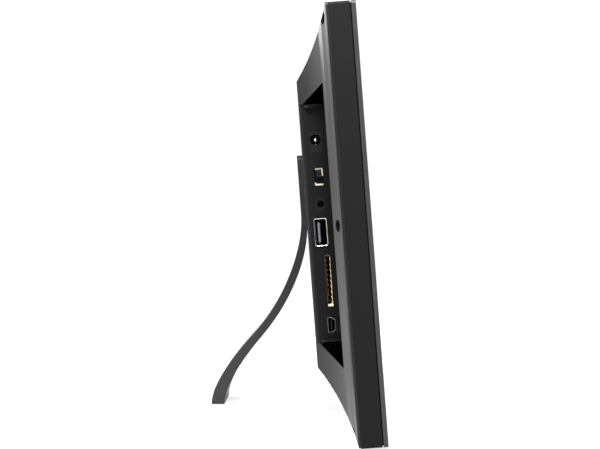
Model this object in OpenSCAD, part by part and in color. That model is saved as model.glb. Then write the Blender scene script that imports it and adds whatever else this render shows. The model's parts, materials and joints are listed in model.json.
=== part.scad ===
// Table-top digital photo frame with a curved rear stand. Sizes are in millimetres.
// The row frame stands on z = 0, with the screen facing -y and the stand towards +y.
// The body frame leans back: x across, y towards the rear and z up the screen.
// Its origin is the bottom edge of the rear cover, where the body touches the table.

/* [Screen] */
// Width of the visible picture
screen_w = 294; // [264:1:360]
// Height of the visible picture
screen_h = 166; // [150:1:204]
// Width of the border round the picture
border = 23; // [22:1:30]

/* [Housing] */
// Angle that the body leans back from upright
lean_angle = 4.24; // [3:0.02:8]
// Thickness of the front bezel plate
bezel_t = 2.2; // [1.8:0.1:3]
// Width of the dark groove behind the bezel
reveal = 0.6; // [0.4:0.1:1]
// Depth of the middle band
band_d = 10.3; // [9.5:0.1:14]
// Straight rim of the rear cover
rim_t = 1.2; // [1:0.1:1.6]
// Height of the flat rear plateau above the rim
plateau_h = 16.7; // [16:0.1:20]
// Height of the plateau's middle above the middle of the body
plateau_rise = 1.8; // [0:0.1:2]
// Radius of the concave slope on each side of the plateau
cove_r = 90; // [84:1:120]
// Steepness of that slope where it leaves the rim
cove_angle = 13.5; // [12:0.1:15]
// Wall of the rear cover
cover_wall = 2; // [1.6:0.1:2.4]
// Wall of the middle band
band_wall = 2.2; // [1.8:0.1:2.4]
// Radius of the housing's corners, seen from the front
corner_r = 1.5; // [1:0.1:2.4]

/* [Fasteners] */
// Distance of the cover screws from the edge of the housing
cover_screw_in = 6.5; // [6.5:0.1:8]
// Radius of the counterbore over each cover screw
counterbore_r = 3; // [2.8:0.1:3.2]
// Radius of the cover screws' shanks
cover_screw_r = 1.25; // [1:0.05:1.4]
// Radius of the small screws' shanks
small_screw_r = 0.9; // [0.8:0.05:1]

/* [Side recesses] */
// Distance of the recess's outer lip from the side
recess_in = 12.5; // [12:0.1:14]
// Distance of the recess's wall from the side
recess_l = 32; // [31:0.1:33]
// Length of the recess's wall between its two ledges
recess_h = 115; // [112:1:120]
// Height of the recess's middle above the middle of the body
recess_rise = 2; // [0:0.1:2]
// Drop of the opening's middle below the recess's middle
mouth_drop = 1.6; // [0:0.1:2]
// Length of the whole opening at its outer lip
recess_mouth = 139.2; // [136:0.1:142]
// Wall of the recess panels
panel_t = 1.5; // [1.2:0.1:1.6]
// Thickness of the ledges and the floor
ledge_t = 1.4; // [1:0.1:1.8]

/* [Boards] */
// Thickness of the circuit boards
board_t = 1.6; // [1.2:0.1:1.8]
// Width of the main board
board_w = 74; // [68:1:84]
// Height of the main board
board_h = 117; // [117:1:128]
// Travel of the power switch
switch_travel = 3; // [2:0.1:3.2]
// Radius of the headphone socket's bore
audio_r = 1.8; // [1.75:0.01:1.85]
// Radius of the power socket's bore
dc_r = 2.75; // [2.5:0.05:2.75]

/* [Keys] */
// Distance between keys
key_pitch = 14.5; // [13.6:0.1:14.6]
// Length of a key
key_h = 9; // [8:0.1:9.6]
// Width of a key
key_d = 5; // [4:0.1:5.4]
// Travel of a key
key_travel = 0.5; // [0.3:0.1:0.5]

/* [Stand] */
// Width of the stand
stand_w = 40; // [30:1:44]
// Thickness of the stand's flat upper part
stand_t = 3.8; // [3.6:0.1:5]
// Height of the swivel above the bottom edge
hub_z = 130; // [126:1:140]
// Radius of the swivel's journal
hub_r = 12; // [10:0.1:13]
// How far the foot reaches behind the bottom edge
foot_reach = 82; // [78:1:98]
// Depth of the foot where it stands
foot_d = 7.6; // [7:0.1:9]

/* [Hidden] */

// Clearances: between loose parts, round moving parts, and of the swivel's running fit
fit_gap = 0.1;
move_gap = 0.3;
run_gap = 0.05;
shank_gap = 0.05;
tiny = 0.01;

// Overall body
body_w = screen_w + 2 * border;
body_h = screen_h + 2 * border;
band_back = -rim_t;
band_front = band_back - band_d;
bezel_back = band_front - reveal;
front = bezel_back - bezel_t;

// Cove: a circle whose centre lies outside and behind the rim
cove_x = -cove_r * sin(cove_angle);
cove_y = cove_r * cos(cove_angle);
function cove(u, r = cove_r) = cove_y - sqrt(r * r - pow(u - cove_x, 2));
inner_r = cove_r + cover_wall;
inner_top = plateau_h - cover_wall;

// Place of the body in the row frame, whose origin is the middle of the bottom
reach_front = -front * cos(lean_angle);
base_y = (reach_front - foot_reach) / 2;

// Front stack
lip_in = band_wall + 0.2;
lip_t = 2;
lip_h = 2.6;
shelf_front = bezel_back + lip_h;
shelf_t = 1.5;
shelf_back = shelf_front + shelf_t;
module_edge = 6;
module_w = screen_w + 2 * module_edge;
module_h = screen_h + 2 * module_edge;
module_in = border - module_edge;
shelf_in = module_in - 0.2;
lcd_t = 1.2;
guide_t = 3.5;
tray_wall = 0.8;
lcd_back = bezel_back + lcd_t;
tray_back = lcd_back + guide_t + tray_wall;
led_w = 1.8;

// Screws
screw_line = 11;
small_head_r = 1.9;
small_head_h = 1.2;
cover_boss_r = counterbore_r + 1.1;
cover_seat = band_back - 1.8;
cover_joint = cover_seat - 1.5;
cover_head_h = 1.8;
cover_screws_at = [for (x = [-1, 0, 1]) for (z = [-1, 0, 1]) if (x != 0 || z != 0)
    [x * (body_w / 2 - cover_screw_in), body_h / 2 + z * (body_h / 2 - cover_screw_in)]];
bezel_screws_at = concat(
    [for (x = [-55, 55]) for (z = [screw_line, body_h - screw_line]) [x, z]],
    [for (x = [-1, 1]) for (z = [-50, 50]) [x * (body_w / 2 - screw_line), body_h / 2 + z]]);
clamps_at = [for (x = [-100, 100]) for (s = [0, 1]) [x, s]];
clamp_w = 14;
clamp_t = 0.8;
clamp_foot = 7;

// Recess and main board, in the side frame: x inward from the side, z from the middle
recess_z = body_h / 2 + recess_rise;
floor_y = cove(recess_in) - 0.5;
wall_top = cove(recess_l) - 0.15;
wall_in = recess_l + panel_t;
board_front = floor_y + 1;
board_back = board_front + board_t;
board_in = wall_in + 0.5;
ledge_in = recess_l - 3;
post_h = 5.8;
post_l = board_in + 3.3;
post_size = 2.1;
post_z = [recess_h / 2 - 3.2, -recess_h / 2 + 0.6];
board_boss_l = board_in + board_w - 4;
board_boss_z = board_h / 2 - 6;
port_hook_z = [55.7, 31.9, -13.9, -44.5];

// Sockets: height over the board and place along the recess
dc_z = 40.5;
dc_margin = 1.5;
dc_y = board_back + 3.3;
dc_face = [6.5, 10.5];
switch_z = 23.1;
switch_y = board_back + 3;
knob = [2.6, 4];
switch_hole = [4.6, 9.2];
audio_z = 9.5;
audio_y = board_back + 3;
usb_z = -4.5;
usb_y = board_back + 3.95;
usb_hole = [5.1, 12.5];
usb_shell_t = 0.35;
usb_flange = [7, 14.5];
card_z = -29;
card_t = 3.5;
card_h = 26;
card_slot = [2.5, 24.6];
mini_z = -50.8;
mini_y = board_back + 2.05;
mini_size = [4, 7.7];

// Parts on the main board, as places l and z and sizes
chip_at = [76, 6];
chip_w = 19;
chip_t = 1.4;
sink_w = 24;
sink_base = 1.4;
cell_at = [80, -42];
cell_r = 10;

// Keys
key_count = 7;
key_y = board_back + 3.2;
key_out = 1.5;
key_flange_t = 1.3;
key_flange = 1;
key_back = wall_in + move_gap + key_flange_t;
button_gap = 0.6;
switch_face = key_back + button_gap;
tact_h = 3.2;
button_h = 1.2;
key_board_l = switch_face + button_h + tact_h;
key_board_z = recess_h / 2 - 5.5;
key_board_w = 8;

// Cables
ribbon_t = 0.4;
ribbon_w = 20;
key_ribbon_w = 8;
socket_l = board_in + 62;
key_ribbon_z = -36;
driver_z = module_in + 10;
driver_x = [-90, 70];
driver_h = 18;
driver_t = 1;
ribbon_x = [-64, -48];
ribbon_socket_h = 2.2;

// Speakers
speaker_x = 46;
speaker_z = 64;
speaker_r = 14;
ear = speaker_r + 3;

// Stand
stand_gap = 0.3;
pad_front = plateau_h + stand_gap;
pad_back = pad_front + stand_t;
pad_up = 19;
pad_down = 16;
pad_r = 3;
collar_t = 3;
collar_r = hub_r + 4;
collar_end = inner_top - collar_t;
washer_t = 0.4;
stub_end = collar_end - washer_t - 2 * fit_gap;
retainer_t = 1.5;
retainer_r = hub_r + 4;
curve_steps = 20;
pad_recess = 1;
pad_proud = 0.4;
foot_z = pad_proud;
hub_screw_r = 7;

// Turns a point of the body frame's side view into the row frame's side view
function at(y, z) = [y * cos(lean_angle) + z * sin(lean_angle), -y * sin(lean_angle) + z * cos(lean_angle)];
function bezier(a, b, c, d, t) =
    pow(1 - t, 3) * a + 3 * pow(1 - t, 2) * t * b + 3 * (1 - t) * t * t * c + t * t * t * d;
// S-curve from start to finish through a middle point, where it slopes at a given angle
function s_curve(start, drop, mid, slope, before, after, finish, rise) =
    let (along = [sin(slope), -cos(slope)], down = [-sin(lean_angle), -cos(lean_angle)])
    concat(
        [for (i = [0 : curve_steps - 1])
            bezier(start, start + drop * down, mid - before * along, mid, i / curve_steps)],
        [for (i = [0 : curve_steps])
            bezier(mid, mid + after * along, finish + [0, rise], finish, i / curve_steps)]);

outer_curve = s_curve(at(pad_back, hub_z - pad_down), 22.7, [55.4, 44], 41.8, 21, 15.1,
    [foot_reach, foot_z], 13.8);
inner_curve = s_curve(at(pad_front + 0.5, hub_z - pad_down), 30.5, [52.5, 40], 40.5, 21.2, 17.9,
    [foot_reach - foot_d, foot_z], 10.1);

module lean() {
    translate([0, base_y, 0]) rotate([-lean_angle, 0, 0]) children();
}

// Extrudes a shape drawn in x and z from y0 to y1
module slab(y0, y1) {
    translate([0, y1, 0]) rotate([90, 0, 0]) linear_extrude(y1 - y0) children();
}

// Extrudes a shape drawn in x and y from z0 to z1
module tall(z0, z1) {
    translate([0, 0, z0]) linear_extrude(z1 - z0) children();
}

// Extrudes a shape drawn in y and z from x0 to x1
module across(x0, x1) {
    translate([x0, 0, 0]) rotate([90, 0, 90]) linear_extrude(x1 - x0) children();
}

module block(x, y, z) {
    translate([x[0], y[0], z[0]]) cube([x[1] - x[0], y[1] - y[0], z[1] - z[0]]);
}

// Round rod along y, at x and z
module rod(at_xz, r, y0, y1) {
    translate([at_xz[0], y1, at_xz[1]]) rotate([90, 0, 0]) cylinder(r = r, h = y1 - y0, $fn = 48);
}

// Round rod along x, at y and z
module pin(at_yz, r, x0, x1) {
    translate([x0, at_yz[0], at_yz[1]]) rotate([0, 90, 0]) cylinder(r = r, h = x1 - x0, $fn = 48);
}

// Side frame of the left recess: x inward from the side, z from the recess's middle
module left() {
    lean() translate([-body_w / 2, 0, recess_z]) children();
}

module right() {
    lean() mirror([1, 0, 0]) translate([-body_w / 2, 0, recess_z]) children();
}

// Rectangle with round corners, centred in x, with its lower edge at inset
module face(inset, r) {
    w = body_w - 2 * inset;
    h = body_h - 2 * inset;
    translate([0, body_h / 2]) round_rect(w, h, r);
}

module round_rect(w, h, r) {
    square([w - 2 * r, h], center = true);
    square([w, h - 2 * r], center = true);
    for (x = [-1, 1]) for (z = [-1, 1])
        translate([x * (w / 2 - r), z * (h / 2 - r)]) circle(r = r, $fn = 32);
}

module frame_ring(outer_in, inner_in, y0, y1) {
    slab(y0, y1) difference() {
        face(outer_in, corner_r);
        face(inner_in, 0.5);
    }
}

// Section of the rear: a flat top that falls to each side in a concave curve
module cove_section(size, r, low, high) {
    difference() {
        translate([-size / 2 - rim_t, low]) square([size + 2 * rim_t, high - low]);
        for (s = [-1, 1]) translate([s * (size / 2 - cove_x), cove_y]) circle(r = r, $fn = 180);
    }
}

module cove_solid(r, low, high) {
    intersection() {
        tall(-tiny, body_h + tiny) cove_section(body_w, r, low, high);
        translate([-body_w / 2 - tiny, 0, body_h / 2 + plateau_rise]) rotate([0, 90, 0])
            linear_extrude(body_w + 2 * tiny) cove_section(body_h, r, low, high);
    }
}

module screw(at_xz, seat, shank_r, head_r, head_h, tip) {
    dir = tip > seat ? 1 : -1;
    head = seat - dir * head_h;
    difference() {
        union() {
            rod(at_xz, shank_r, min(seat, tip), max(seat, tip));
            rod(at_xz, head_r, min(seat, head), max(seat, head));
        }
        for (a = [0, 90]) translate([at_xz[0], head, at_xz[1]]) rotate([0, a, 0])
            cube([head_r * 1.2, head_h, head_r * 0.3], center = true);
    }
}

module front_bezel() color("#3a3a3c") lean() {
    difference() {
        union() {
            slab(front, bezel_back) face(0, corner_r);
            frame_ring(lip_in, lip_in + lip_t, bezel_back - tiny, shelf_front);
            for (p = bezel_screws_at) rod(p, 2.6, bezel_back - tiny, shelf_front);
        }
        slab(front - 1, bezel_back + 1) face(border, 0.5);
        for (p = bezel_screws_at) rod(p, small_screw_r + shank_gap, bezel_back + 0.2, shelf_front + 1);
    }
}

module module_box(y0, y1, inset) {
    block([-module_w / 2 + inset, module_w / 2 - inset], [y0, y1],
        [module_in + inset, module_in + module_h - inset]);
}

module lcd_panel() color("#101114") lean() {
    module_box(bezel_back, lcd_back, 0);
}

module backlight_tray() color("#a9adb0") lean() {
    difference() {
        module_box(lcd_back, tray_back, 0);
        module_box(lcd_back - 1, tray_back - tray_wall, tray_wall);
    }
}

module light_guide() color("#eef1f2") lean() {
    inset = tray_wall + 0.2;
    block([-module_w / 2 + inset, module_w / 2 - inset], [lcd_back, tray_back - tray_wall],
        [module_in + tray_wall + led_w + 0.5, module_in + module_h - inset]);
}

module led_strip() color("#f6efd2") lean() {
    z0 = module_in + tray_wall;
    length = module_w - 12;
    block([-length / 2, length / 2], [lcd_back + 0.3, tray_back - tray_wall], [z0, z0 + led_w - 0.8]);
    for (x = [-length / 2 + 6 : 12 : length / 2 - 6])
        block([x - 1.5, x + 1.5], [lcd_back + 0.8, tray_back - tray_wall - 0.8], [z0 + led_w - 0.8, z0 + led_w]);
}

module panel_driver_board() color("#1f5a3a") lean() {
    top = tray_back + driver_t;
    block(driver_x, [tray_back, top], [driver_z - driver_h / 2, driver_z + driver_h / 2]);
    block([ribbon_x[0] - 2, ribbon_x[1] + 2], [top, top + ribbon_socket_h], [driver_z + 2, driver_z + 7]);
    for (x = [-20, 20]) block([x - 4, x + 4], [top, top + 1.2], [driver_z - 4, driver_z + 4]);
}

module display_clamps() color("#b9bcbe") lean() {
    for (c = clamps_at) translate([c[0], 0, c[1] * body_h]) mirror([0, 0, c[1]]) difference() {
        union() {
            block([-clamp_w / 2, clamp_w / 2], [shelf_back, shelf_back + clamp_t], [8, shelf_in]);
            block([-clamp_w / 2, clamp_w / 2], [shelf_back, tray_back + clamp_t], [shelf_in - clamp_t, shelf_in]);
            block([-clamp_w / 2, clamp_w / 2], [tray_back, tray_back + clamp_t], [shelf_in - clamp_t, module_in + clamp_foot]);
        }
        rod([0, screw_line], small_screw_r + 0.2, shelf_back - 1, shelf_back + 2);
    }
}

module clamp_screws() color("#8d9092") lean() {
    for (c = clamps_at) screw([c[0], c[1] == 0 ? screw_line : body_h - screw_line],
        shelf_back + clamp_t, small_screw_r, small_head_r, small_head_h, shelf_front - 1.8);
}

module mid_frame() color("#2d2d2f") lean() {
    boss_at = [for (c = clamps_at) [c[0], c[1] == 0 ? screw_line : body_h - screw_line]];
    difference() {
        union() {
            frame_ring(0, band_wall, band_front, band_back);
            frame_ring(band_wall - tiny, shelf_in, shelf_front, shelf_back);
            for (p = cover_screws_at) rod(p, cover_boss_r, shelf_back - tiny, cover_joint);
            for (p = boss_at) rod(p, 2.3, shelf_front - 2, shelf_front + tiny);
        }
        for (p = cover_screws_at) rod(p, cover_screw_r + shank_gap, shelf_front - 1, cover_joint + 1);
        for (p = bezel_screws_at) rod(p, small_screw_r + 0.3, shelf_front - 1, shelf_back + 1);
        for (p = boss_at) rod(p, small_screw_r + shank_gap, shelf_front - 3, shelf_back + 1);
    }
}

module bezel_screws() color("#8d9092") lean() {
    for (p = bezel_screws_at)
        screw(p, shelf_back, small_screw_r, small_head_r, small_head_h, bezel_back + 0.5);
}

module cover_screws() color("#6d6f71") lean() {
    for (p = cover_screws_at)
        screw(p, cover_seat, cover_screw_r, counterbore_r - 0.3, cover_head_h, shelf_front - 0.6);
}

// Opening of a recess, cut inwards from the side so that its slanting ends have hidden edges
module recess_cut() {
    back = recess_h / 2 + 2;
    low = -recess_mouth / 2 - mouth_drop;
    high = recess_mouth / 2 - mouth_drop;
    across(recess_in, wall_in + fit_gap) polygon([
        [-rim_t - 5, low], [floor_y, low], [cove(recess_l), -back], [plateau_h + 1, -back],
        [plateau_h + 1, back], [cove(recess_l), back], [floor_y, high], [-rim_t - 5, high]]);
}

module speaker_slots() {
    for (i = [-3 : 3]) {
        reach = sqrt(pow(speaker_r - 3, 2) - pow(i * 3.2, 2));
        translate([i * 3.2 - 0.8, -reach]) square([1.6, 2 * reach]);
    }
}

module rear_cover() color("#2f2f31") lean() {
    difference() {
        union() {
            difference() {
                intersection() {
                    cove_solid(cove_r, -rim_t, plateau_h);
                    slab(-rim_t, plateau_h) face(0, corner_r);
                }
                cove_solid(inner_r, -rim_t - 1, inner_top);
            }
            intersection() {
                cove_solid(cove_r + 1, cover_joint - 1, plateau_h - 0.5);
                union() {
                    for (p = cover_screws_at) rod(p, cover_boss_r, cover_joint, plateau_h);
                    rod([0, hub_z], collar_r, collar_end, inner_top + tiny);
                    for (z = [-1, 1])
                        rod([-body_w / 2 + board_boss_l, recess_z + z * board_boss_z], 2.6, board_back, inner_top + tiny);
                    for (s = [-1, 1]) for (z = [-1, 1])
                        rod([s * speaker_x, speaker_z + z * ear], 2.4, inner_top - 1, inner_top + tiny);
                }
            }
        }
        for (p = cover_screws_at) {
            rod(p, counterbore_r, cover_seat, plateau_h);
            rod(p, cover_screw_r + 0.35, cover_joint - 1, cover_seat + tiny);
        }
        rod([0, hub_z], hub_r + run_gap, collar_end - 1, plateau_h + 1);
        for (z = [-1, 1])
            rod([-body_w / 2 + board_boss_l, recess_z + z * board_boss_z], small_screw_r + shank_gap,
                board_back - 1, board_back + 5);
        for (s = [-1, 1]) {
            for (z = [-1, 1])
                rod([s * speaker_x, speaker_z + z * ear], small_screw_r + shank_gap, inner_top - 2, inner_top + 1.4);
            slab(inner_top - 1, plateau_h + 1) translate([s * speaker_x, speaker_z]) speaker_slots();
        }
        for (m = [0, 1]) mirror([m, 0, 0]) translate([-body_w / 2, 0, recess_z]) recess_cut();
    }
}

// Floor, and the wall with its ledges and hooks, that both recesses share, in the side frame
module recess_floor() {
    block([recess_in + fit_gap, recess_l], [floor_y - ledge_t, floor_y], [-recess_h / 2, recess_h / 2]);
}

module recess_panel(hook_z) {
    half = recess_h / 2;
    block([recess_l, wall_in], [floor_y - ledge_t, wall_top], [-half - ledge_t, half + ledge_t]);
    intersection() {
        for (s = [0, 1]) mirror([0, 0, s])
            block([ledge_in, recess_l + tiny], [floor_y - ledge_t, wall_top], [half, half + ledge_t]);
        translate([body_w / 2, 0, -recess_z]) tall(-tiny, body_h) cove_section(body_w, cove_r + 0.4, -rim_t, wall_top);
    }
    for (z = hook_z)
        block([wall_in - tiny, wall_in + 1.8], [wall_top - 2.9, wall_top - 1.8], [z - 1.2, z + 1.2]);
}

module rect_hole(y, z, size) {
    block([recess_l - 1, wall_in + 1], [y - size[0] / 2, y + size[0] / 2], [z - size[1] / 2, z + size[1] / 2]);
}

module port_panel() color("#262629") left() {
    difference() {
        union() {
            recess_panel(port_hook_z);
            for (z = post_z) block([wall_in - tiny, wall_in + 7.5], [board_back, board_back + post_h], [z - post_size, z + post_size]);
        }
        for (z = post_z) rod([post_l, z], small_screw_r + shank_gap, board_back - 1, board_back + post_h - 1);
        rect_hole(dc_y, dc_z, dc_face + [2, 2] * fit_gap);
        rect_hole(switch_y, switch_z, switch_hole);
        pin([audio_y, audio_z], 3 + fit_gap, recess_l - 1, wall_in + 1);
        rect_hole(usb_y, usb_z, usb_hole + [2, 2] * (usb_shell_t + fit_gap));
        rect_hole(board_back + card_t / 2, card_z, [card_t, card_h] + [2, 2] * fit_gap);
        rect_hole(mini_y, mini_z, mini_size + [2, 2] * fit_gap);
    }
}

module port_floor() color("#262629") left() recess_floor();
module key_floor() color("#262629") right() recess_floor();

module key_panel() color("#262629") right() {
    difference() {
        union() {
            recess_panel([for (i = [1 : key_count - 1]) key_place(i) + key_pitch / 2]);
            for (s = [-1, 1]) pin([key_y, s * (key_board_z + 2)], 2.2, wall_in - tiny, key_board_l);
        }
        for (s = [-1, 1])
            pin([key_y, s * (key_board_z + 2)], small_screw_r + shank_gap, key_board_l - 5, key_board_l + 1);
        for (i = [0 : key_count - 1]) rect_hole(key_y, key_place(i), [key_d, key_h] + [2, 2] * move_gap);
    }
}

module main_board() color("#1d5c3c") left() {
    difference() {
        block([board_in, board_in + board_w], [board_front, board_back], [-board_h / 2, board_h / 2]);
        for (z = [-1, 1]) rod([board_boss_l, z * board_boss_z], small_screw_r + 0.3, board_front - 1, board_back + 1);
        for (z = post_z) rod([post_l, z], small_screw_r + 0.3, board_front - 1, board_back + 1);
    }
    for (s = [[0, ribbon_w / 2 + 2], [key_ribbon_z, key_ribbon_w / 2 + 2]])
        block([socket_l, socket_l + 4], [board_front - 2.5, board_front], [s[0] - s[1], s[0] + s[1]]);
}

module board_screws() color("#8d9092") left() {
    for (z = [-1, 1])
        screw([board_boss_l, z * board_boss_z], board_front, small_screw_r, small_head_r, small_head_h, board_back + 4);
    for (z = post_z) screw([post_l, z], board_front, small_screw_r, small_head_r, small_head_h, board_back + 4);
}

module on_board(l, z, w, h, t, base = 0) {
    block([l - w / 2, l + w / 2], [board_back + base, board_back + base + t], [z - h / 2, z + h / 2]);
}

module processor() color("#18181a") left() on_board(chip_at[0], chip_at[1], chip_w, chip_w, chip_t);

module heat_sink() color("#9a9ea1") left() {
    on_board(chip_at[0], chip_at[1], sink_w, sink_w, sink_base, chip_t);
    for (i = [-3 : 3])
        on_board(chip_at[0] + i * (sink_w - 1) / 6.4, chip_at[1], 1, sink_w, 4, chip_t + sink_base - tiny);
}

module memory_chips() color("#18181a") left() {
    for (z = [28, 44]) on_board(84, z, 18, 10, 1.1);
}

module capacitors() color("#33363c") left() {
    for (p = [[58, 50], [66, 50], [58, 40]])
        rod(p, 3, board_back, board_back + 6.5);
}

module cell_holder() color("#202024") left() {
    difference() {
        rod(cell_at, cell_r + 1.6, board_back, board_back + 3.6);
        rod(cell_at, cell_r + fit_gap, board_back + 0.5, board_back + 5);
    }
}

module coin_cell() color("#c9cccd") left() {
    rod(cell_at, cell_r, board_back + 0.5, board_back + 3.7);
}

module dc_jack() color("#1b1b1d") left() difference() {
    block([recess_l + 0.2, recess_l + 14], [dc_y - dc_face[0] / 2, dc_y + dc_face[0] / 2],
        [dc_z - dc_face[1] / 2, dc_z + dc_face[1] / 2]);
    pin([dc_y, dc_z + dc_face[1] / 2 - dc_r - dc_margin], dc_r, recess_l - 1, recess_l + 9.7);
}

module dc_pin() color("#cfd2d3") left() {
    pin([dc_y, dc_z + dc_face[1] / 2 - dc_r - dc_margin], 1, recess_l + 1, recess_l + 9.7);
}

module switch_body() color("#b4b7b9") left() difference() {
    block([wall_in, wall_in + 6], [switch_y - 3, switch_y + 3], [switch_z - 5.8, switch_z + 5.8]);
    block([wall_in + 0.5, wall_in + 5.5], [switch_y - 2.5, switch_y + 2.5], [switch_z - 5.3, switch_z + 5.3]);
    slot = knob + [2 * 0.15, switch_travel + 2 * fit_gap];
    block([wall_in - 1, wall_in + 1], [switch_y - slot[0] / 2, switch_y + slot[0] / 2],
        [switch_z - slot[1] / 2, switch_z + slot[1] / 2]);
}

module switch_knob() color("#141416") left() {
    z = switch_z + switch_travel / 2;
    block([recess_l - 0.6, wall_in + 1], [switch_y - knob[0] / 2, switch_y + knob[0] / 2],
        [z - knob[1] / 2, z + knob[1] / 2]);
    block([wall_in + 0.8, wall_in + 2.4], [switch_y - 2.2, switch_y + 2.2], [z - 2.6, z + 2.6]);
}

module audio_jack() color("#1b1b1d") left() difference() {
    union() {
        block([wall_in, wall_in + 12], [audio_y - 3, audio_y + 3], [audio_z - 3.6, audio_z + 3.6]);
        pin([audio_y, audio_z], 3, recess_l + 0.1, wall_in + tiny);
    }
    pin([audio_y, audio_z], audio_r, recess_l - 1, wall_in + 11);
}

module usb_shell() color("#c3c6c8") left() {
    outer = usb_hole + [2, 2] * usb_shell_t;
    difference() {
        union() {
            block([recess_l - 0.5, recess_l + 14], [usb_y - outer[0] / 2, usb_y + outer[0] / 2],
                [usb_z - outer[1] / 2, usb_z + outer[1] / 2]);
            block([recess_l - 0.5, recess_l - 0.1], [usb_y - usb_flange[0] / 2, usb_y + usb_flange[0] / 2],
                [usb_z - usb_flange[1] / 2, usb_z + usb_flange[1] / 2]);
            block([wall_in + 3, recess_l + 14], [board_back, usb_y], [usb_z - 5.5, usb_z + 5.5]);
        }
        block([recess_l - 1, recess_l + 13.5], [usb_y - usb_hole[0] / 2, usb_y + usb_hole[0] / 2],
            [usb_z - usb_hole[1] / 2, usb_z + usb_hole[1] / 2]);
    }
}

module usb_tongue() color("#5f6878") left() {
    block([recess_l + 1, recess_l + 13.5], [usb_y + 0.35, usb_y + 2.2], [usb_z - 5.5, usb_z + 5.5]);
}

module card_socket() color("#b7b9ba") left() difference() {
    block([recess_l + 0.1, recess_l + 28], [board_back, board_back + card_t], [card_z - card_h / 2, card_z + card_h / 2]);
    block([recess_l - 1, recess_l + 27], [board_back + 0.5, board_back + 0.5 + card_slot[0]],
        [card_z - card_slot[1] / 2, card_z + card_slot[1] / 2]);
}

module card_contacts() color("#c79a4a") left() {
    for (i = [-4 : 4])
        block([recess_l + 16, recess_l + 27], [board_back + 0.5, board_back + 0.9],
            [card_z + i * 2.5 - 0.6, card_z + i * 2.5 + 0.6]);
}

module mini_outline(grow) {
    d = mini_size[0] / 2 + grow;
    h = mini_size[1] / 2 + grow;
    polygon([[-d, -h + 1.2], [0.2, -h], [d, -h], [d, h], [0.2, h], [-d, h - 1.2]]);
}

module mini_usb_shell() color("#c3c6c8") left() translate([0, mini_y, mini_z]) difference() {
    across(recess_l + 0.1, recess_l + 9) mini_outline(0);
    across(recess_l - 1, recess_l + 8.5) mini_outline(-0.4);
}

module mini_usb_tongue() color("#55565a") left() {
    block([recess_l + 1, recess_l + 8.5], [mini_y - 0.4, mini_y + 0.6], [mini_z - 2.4, mini_z + 2.4]);
}

// Flat cable up from the driver board, across, and back to the main board's front
module display_cable() color("#c9c4b4") lean() {
    low = tray_back + driver_t + ribbon_socket_h;
    x = -body_w / 2 + socket_l - ribbon_t;
    z = [recess_z - ribbon_w / 2, recess_z + ribbon_w / 2];
    block(ribbon_x, [low, low + ribbon_t], [driver_z + 3, z[1]]);
    block([x, ribbon_x[1]], [low, low + ribbon_t], z);
    block([x, x + ribbon_t], [low, board_front - 0.5], z);
}

function key_place(i) = (key_count - 1 - 2 * i) * key_pitch / 2;

module key(i) {
    color("#4a4a4e") right() {
        z = key_place(i);
        block([recess_l - key_out, wall_in + move_gap + tiny], [key_y - key_d / 2, key_y + key_d / 2],
            [z - key_h / 2, z + key_h / 2]);
        block([wall_in + move_gap, key_back], [key_y - key_d / 2 - key_flange, key_y + key_d / 2 + key_flange],
            [z - key_h / 2 - key_flange, z + key_h / 2 + key_flange]);
    }
}

module power_key() key(0);
module menu_key() key(1);
module up_key() key(2);
module enter_key() key(3);
module down_key() key(4);
module back_key() key(5);
module slideshow_key() key(6);

module tact_switches() color("#2a2a2c") right() {
    for (i = [0 : key_count - 1]) {
        z = key_place(i);
        block([switch_face + button_h, key_board_l], [key_y - 3, key_y + 3], [z - 3, z + 3]);
        pin([key_y, z], 1.7, switch_face, switch_face + button_h + tiny);
    }
}

module key_board() color("#1d5c3c") right() difference() {
    block([key_board_l, key_board_l + board_t], [key_y - key_board_w / 2, key_y + key_board_w / 2],
        [-key_board_z - 5, key_board_z + 5]);
    for (s = [-1, 1]) pin([key_y, s * (key_board_z + 2)], small_screw_r + 0.3, key_board_l - 1, key_board_l + 3);
}

module key_board_screws() color("#8d9092") right() {
    for (s = [-1, 1]) {
        pin([key_y, s * (key_board_z + 2)], small_screw_r, key_board_l - 4, key_board_l + board_t + tiny);
        pin([key_y, s * (key_board_z + 2)], small_head_r, key_board_l + board_t, key_board_l + board_t + small_head_h);
    }
}

module key_cable() color("#c9c4b4") lean() {
    z = recess_z + key_ribbon_z;
    low = tray_back;
    x0 = -body_w / 2 + socket_l - ribbon_t;
    x1 = body_w / 2 - key_board_l - board_t - ribbon_t;
    block([x0, x0 + ribbon_t], [low, board_front - 0.5], [z - key_ribbon_w / 2, z + key_ribbon_w / 2]);
    block([x0, x1 + ribbon_t], [low, low + ribbon_t], [z - key_ribbon_w / 2, z + key_ribbon_w / 2]);
    block([x1, x1 + ribbon_t], [low, key_y + 2], [z - key_ribbon_w / 2, z + key_ribbon_w / 2]);
}

module speaker(s) {
    c = [s * speaker_x, speaker_z];
    color("#2b2b2e") lean() difference() {
        union() {
            rod(c, speaker_r, inner_top - 2, inner_top);
            rod(c, 8, inner_top - 7, inner_top - 2 + tiny);
            slab(inner_top - 2, inner_top - 1) translate(c) round_rect(9, 2 * ear + 7, 2);
        }
        rod(c, speaker_r - 1.2, inner_top - 1, inner_top + 1);
        for (z = [-1, 1]) rod(c + [0, z * ear], small_screw_r + 0.3, inner_top - 3, inner_top + 1);
    }
}

module left_speaker() speaker(-1);
module right_speaker() speaker(1);

module speaker_screws() color("#8d9092") lean() {
    for (s = [-1, 1]) for (z = [-1, 1])
        screw([s * speaker_x, speaker_z + z * ear], inner_top - 2, small_screw_r, small_head_r, small_head_h,
            inner_top + 1);
}

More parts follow.
